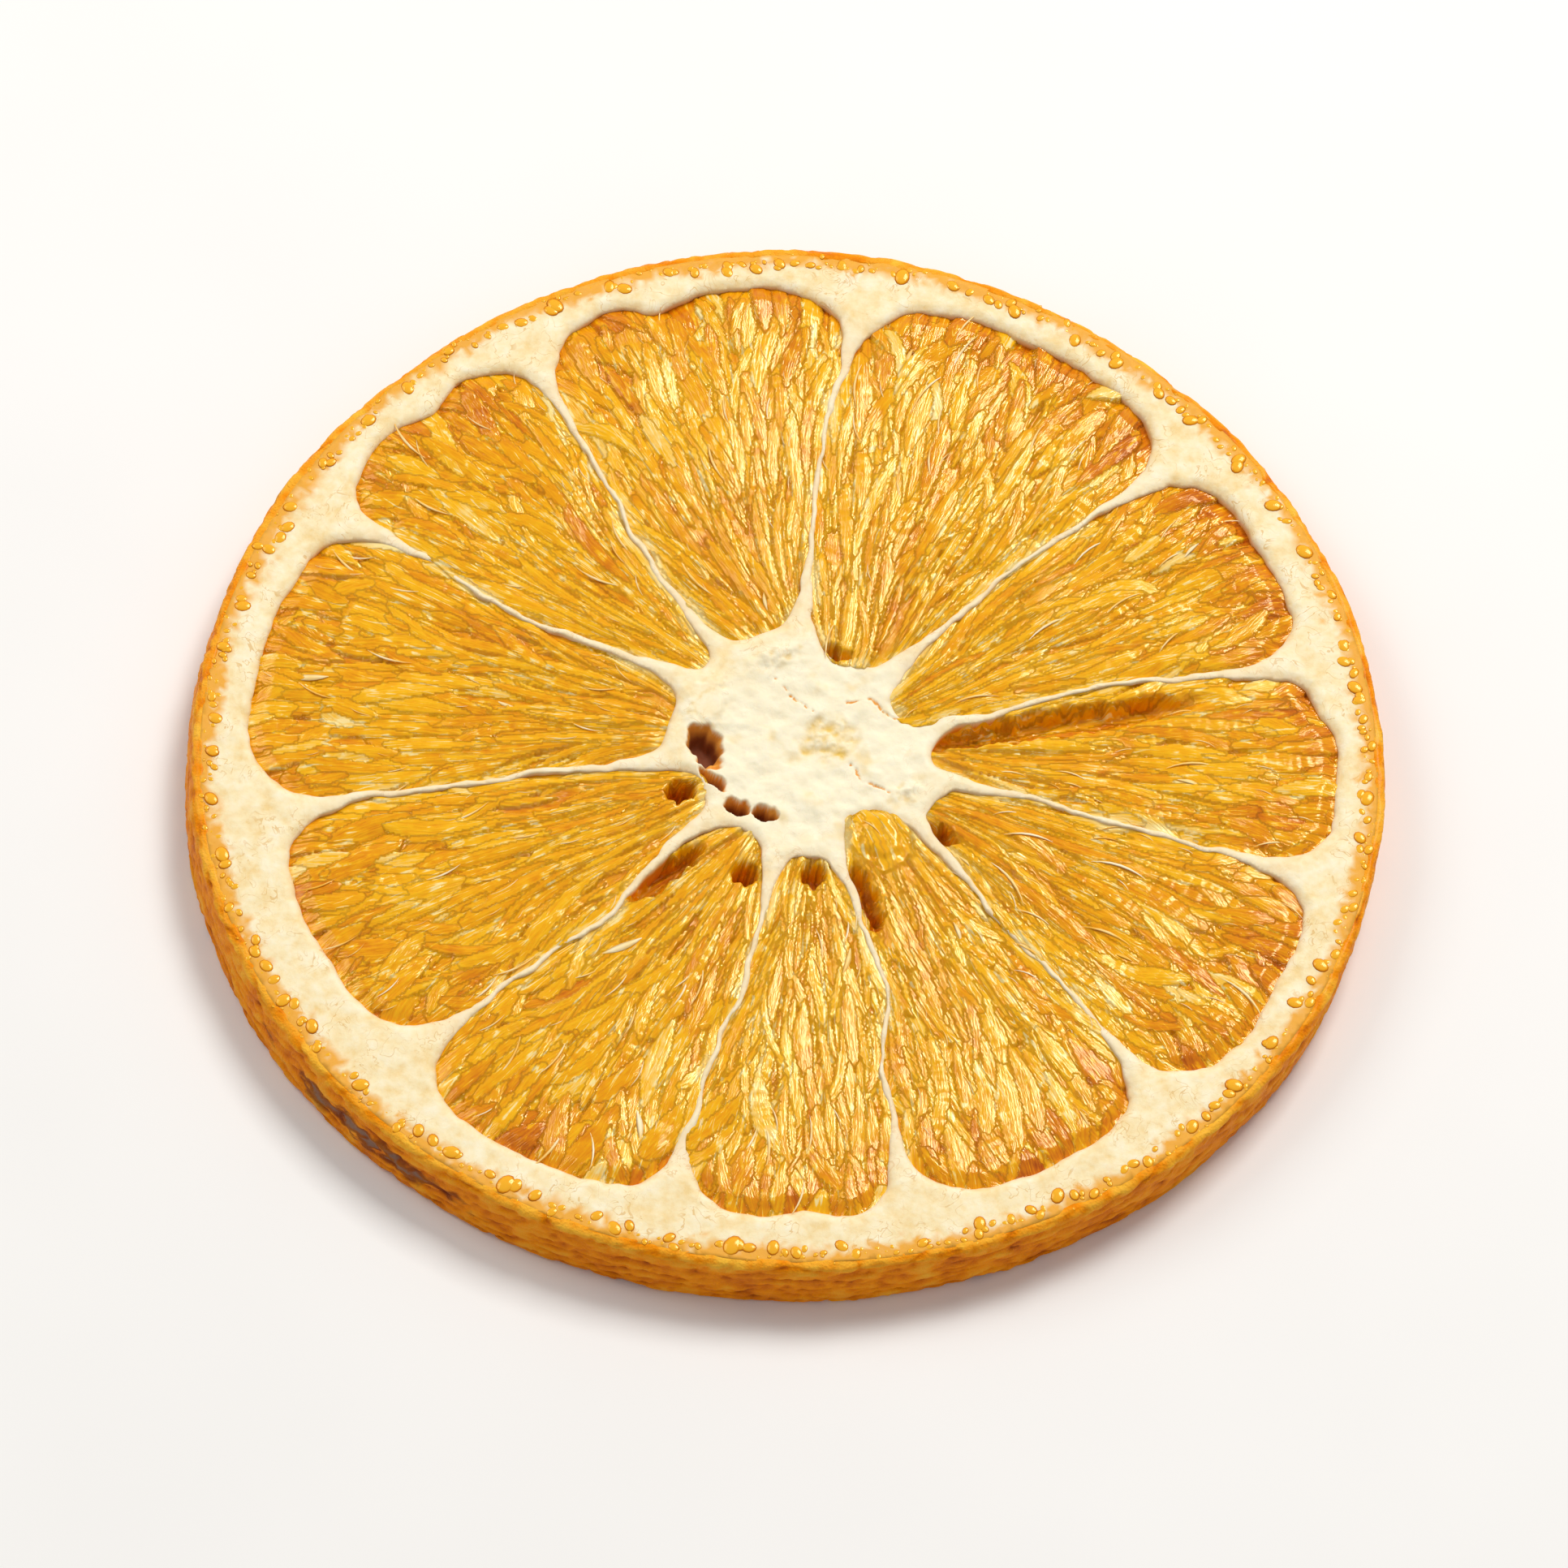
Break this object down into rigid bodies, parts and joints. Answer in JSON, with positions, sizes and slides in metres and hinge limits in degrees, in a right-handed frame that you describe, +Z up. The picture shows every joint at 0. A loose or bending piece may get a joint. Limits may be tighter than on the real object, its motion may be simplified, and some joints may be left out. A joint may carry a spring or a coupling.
{
  "type": "dried orange slice",
  "caption": "Round dried orange slice: rind and pith ring, off-centre core and thin membranes between sunken juice segments. It lies flat on its cut face.",
  "frame": {"origin": "on the plane that the underside rests on, below the middle of the outline's box", "axes": "+Z up along the fruit's core, out of the upper cut face; +X to the right and +Y away for a viewer in front of it, who sees the wide side of the pith ring at the lower left"},
  "size_m": [0.066, 0.0652, 0.0036],
  "materials": {
    "pulp": "dried juice flesh, translucent and glossy",
    "pith": "dried pith, membranes and core, matte",
    "rind": "dried peel, dimpled satin",
    "oil_gland": "cut oil glands, glossy"
  },
  "bodies": {
    "root": {"orange_slice": "pulp"}
  },
  "joints": []
}
